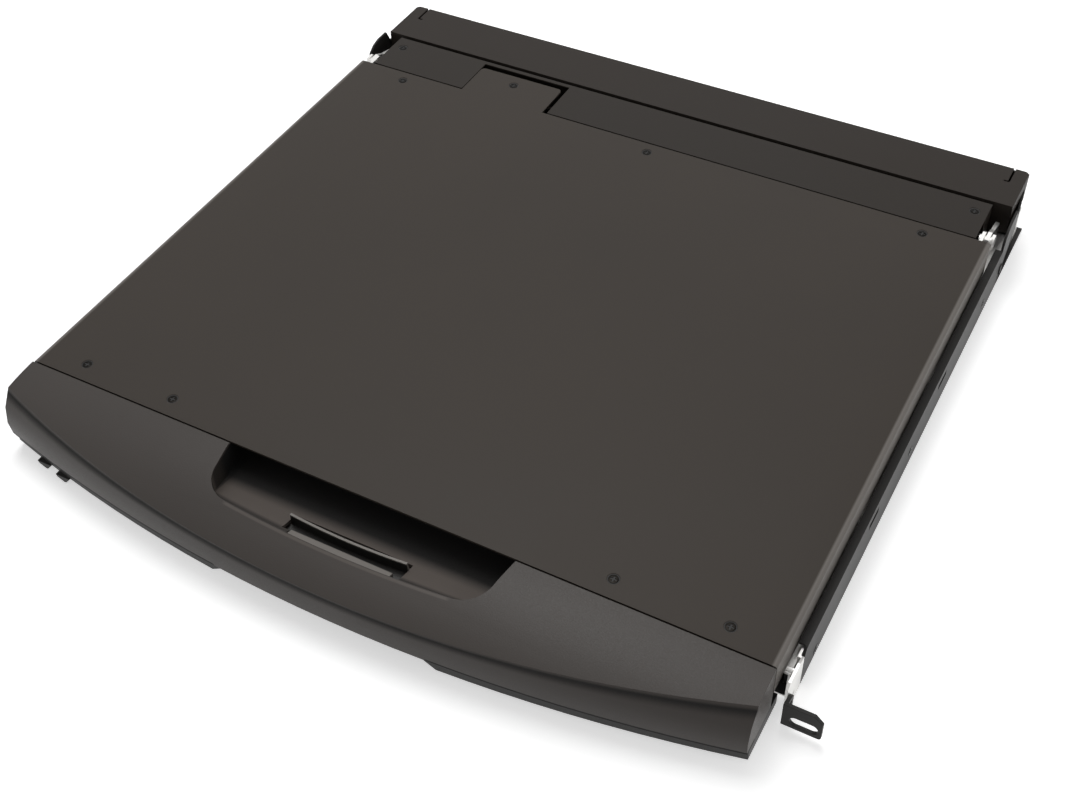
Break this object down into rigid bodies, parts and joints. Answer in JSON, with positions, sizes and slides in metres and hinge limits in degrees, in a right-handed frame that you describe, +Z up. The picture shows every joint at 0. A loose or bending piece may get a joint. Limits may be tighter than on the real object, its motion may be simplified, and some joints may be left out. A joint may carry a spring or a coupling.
{
  "type": "rackmount console drawer",
  "caption": "One-unit rack drawer with a flip-up screen lid, bow-front bezel with handle recess, keyboard tray on telescopic slides, slotted ears and a rear electronics box.",
  "frame": {"origin": "middle of the line between the two rack-ear slots, on the rear face of the ears", "axes": "+X to the right seen from the front, +Y to the back of the rack, +Z up"},
  "size_m": [0.4826, 0.4616, 0.042],
  "materials": {
    "cover_paint": "fine satin powder coat",
    "box_paint": "fine satin powder coat",
    "rail_paint": "satin black coat",
    "bezel_plastic": "fine spark-textured moulding",
    "latch_plastic": "fine spark-textured moulding",
    "tray_plastic": "fine spark-textured moulding",
    "deck_plastic": "fine texture",
    "key_plastic": "smooth matt caps",
    "pad_plastic": "smooth satin",
    "switch_plastic": "smooth moulding",
    "zinc": "bright zinc plate",
    "tray_steel": "thin satin coat",
    "port_metal": "nickel plate",
    "board": "solder mask",
    "panel_grey": "display module",
    "glass": "smooth clear cover"
  },
  "bodies": {
    "rack_frame": {"rear_box_shell": "box_paint", "rear_box_cover": "box_paint", "interface_board": "board", "video_port": "port_metal", "usb_port": "port_metal", "power_inlet": "switch_plastic", "rocker_frame": "switch_plastic", "left_rail": "rail_paint", "right_rail": "rail_paint", "left_cheek": "rail_paint", "right_cheek": "rail_paint", "left_rack_ear": "rail_paint", "right_rack_ear": "rail_paint", "left_slide_outer": "zinc", "right_slide_outer": "zinc", "left_slide_front_plate": "zinc", "right_slide_front_plate": "zinc"},
    "power_switch": {"power_rocker": "switch_plastic"},
    "slide_members": {"left_slide_middle": "zinc", "right_slide_middle": "zinc", "ball_strips": "zinc"},
    "drawer": {"tray_pan": "tray_steel", "tray_front_lip": "tray_plastic", "keyboard_deck": "deck_plastic", "key_base_plate": "tray_steel", "touchpad": "pad_plastic", "pad_board": "board", "hinge_strip": "cover_paint", "latch_keeper": "zinc", "left_slide_inner": "zinc", "right_slide_inner": "zinc", "left_hinge_bracket": "zinc", "right_hinge_bracket": "zinc"},
    "lid": {"lid_cover": "cover_paint", "front_bezel": "bezel_plastic", "screen_frame": "deck_plastic", "lcd_panel": "panel_grey", "screen_glass": "glass", "osd_board": "board", "cable_clamp": "tray_plastic", "left_hinge_leaf": "zinc", "right_hinge_leaf": "zinc"},
    "latch": {"release_latch": "latch_plastic"},
    "left_pad_key": {"left_pad_button": "pad_plastic"},
    "right_pad_key": {"right_pad_button": "pad_plastic"},
    "keys_1": {"key_row_1": "key_plastic"},
    "keys_2": {"key_row_2": "key_plastic"},
    "keys_3": {"key_row_3": "key_plastic"},
    "keys_4": {"key_row_4": "key_plastic"},
    "keys_5": {"key_row_5": "key_plastic"},
    "keys_6": {"key_row_6": "key_plastic"},
    "menu_key_1": {"osd_button_1": "pad_plastic"},
    "menu_key_2": {"osd_button_2": "pad_plastic"},
    "menu_key_3": {"osd_button_3": "pad_plastic"},
    "menu_key_4": {"osd_button_4": "pad_plastic"},
    "menu_key_5": {"osd_button_5": "pad_plastic"}
  },
  "joints": [
    {"name": "drawer_slide", "type": "slide", "parent": "rack_frame", "child": "drawer", "axis": [0, -1, 0], "range_m": [0, 0.355]},
    {"name": "slide_members_travel", "type": "slide", "parent": "rack_frame", "child": "slide_members", "axis": [0, -1, 0], "range_m": [0, 0.1775]},
    {"name": "lid_hinge", "type": "hinge", "parent": "drawer", "child": "lid", "pos_m": [0, 0.335, 0.0265], "axis": [-1, 0, 0], "range_deg": [0, 108]},
    {"name": "release_latch_slide", "type": "slide", "parent": "lid", "child": "latch", "axis": [0, 1, 0], "range_m": [0, 0.0025], "stiffness_N_per_m": 300, "springref_m": -0.002},
    {"name": "power_switch_tilt", "type": "hinge", "parent": "rack_frame", "child": "power_switch", "pos_m": [-0.105, 0.4005, 0.0115], "axis": [1, 0, 0], "range_deg": [-8, 8]},
    {"name": "left_pad_key_press", "type": "slide", "parent": "drawer", "child": "left_pad_key", "axis": [0, 0, -1], "range_m": [0, 0.001], "stiffness_N_per_m": 400, "springref_m": -0.001},
    {"name": "right_pad_key_press", "type": "slide", "parent": "drawer", "child": "right_pad_key", "axis": [0, 0, -1], "range_m": [0, 0.001], "stiffness_N_per_m": 400, "springref_m": -0.001},
    {"name": "keys_1_press", "type": "slide", "parent": "drawer", "child": "keys_1", "axis": [0, 0, -1], "range_m": [0, 0.0022], "stiffness_N_per_m": 400, "springref_m": -0.002},
    {"name": "keys_2_press", "type": "slide", "parent": "drawer", "child": "keys_2", "axis": [0, 0, -1], "range_m": [0, 0.0022], "stiffness_N_per_m": 400, "springref_m": -0.002},
    {"name": "keys_3_press", "type": "slide", "parent": "drawer", "child": "keys_3", "axis": [0, 0, -1], "range_m": [0, 0.0022], "stiffness_N_per_m": 400, "springref_m": -0.002},
    {"name": "keys_4_press", "type": "slide", "parent": "drawer", "child": "keys_4", "axis": [0, 0, -1], "range_m": [0, 0.0022], "stiffness_N_per_m": 400, "springref_m": -0.002},
    {"name": "keys_5_press", "type": "slide", "parent": "drawer", "child": "keys_5", "axis": [0, 0, -1], "range_m": [0, 0.0022], "stiffness_N_per_m": 400, "springref_m": -0.002},
    {"name": "keys_6_press", "type": "slide", "parent": "drawer", "child": "keys_6", "axis": [0, 0, -1], "range_m": [0, 0.0022], "stiffness_N_per_m": 400, "springref_m": -0.002},
    {"name": "menu_key_1_press", "type": "slide", "parent": "lid", "child": "menu_key_1", "axis": [0, 0, 1], "range_m": [0, 0.0007], "stiffness_N_per_m": 300, "springref_m": -0.001},
    {"name": "menu_key_2_press", "type": "slide", "parent": "lid", "child": "menu_key_2", "axis": [0, 0, 1], "range_m": [0, 0.0007], "stiffness_N_per_m": 300, "springref_m": -0.001},
    {"name": "menu_key_3_press", "type": "slide", "parent": "lid", "child": "menu_key_3", "axis": [0, 0, 1], "range_m": [0, 0.0007], "stiffness_N_per_m": 300, "springref_m": -0.001},
    {"name": "menu_key_4_press", "type": "slide", "parent": "lid", "child": "menu_key_4", "axis": [0, 0, 1], "range_m": [0, 0.0007], "stiffness_N_per_m": 300, "springref_m": -0.001},
    {"name": "menu_key_5_press", "type": "slide", "parent": "lid", "child": "menu_key_5", "axis": [0, 0, 1], "range_m": [0, 0.0007], "stiffness_N_per_m": 300, "springref_m": -0.001}
  ],
  "couplings": [
    {"joint": "slide_members_travel", "follows": "drawer_slide", "ratio": 0.5}
  ]
}
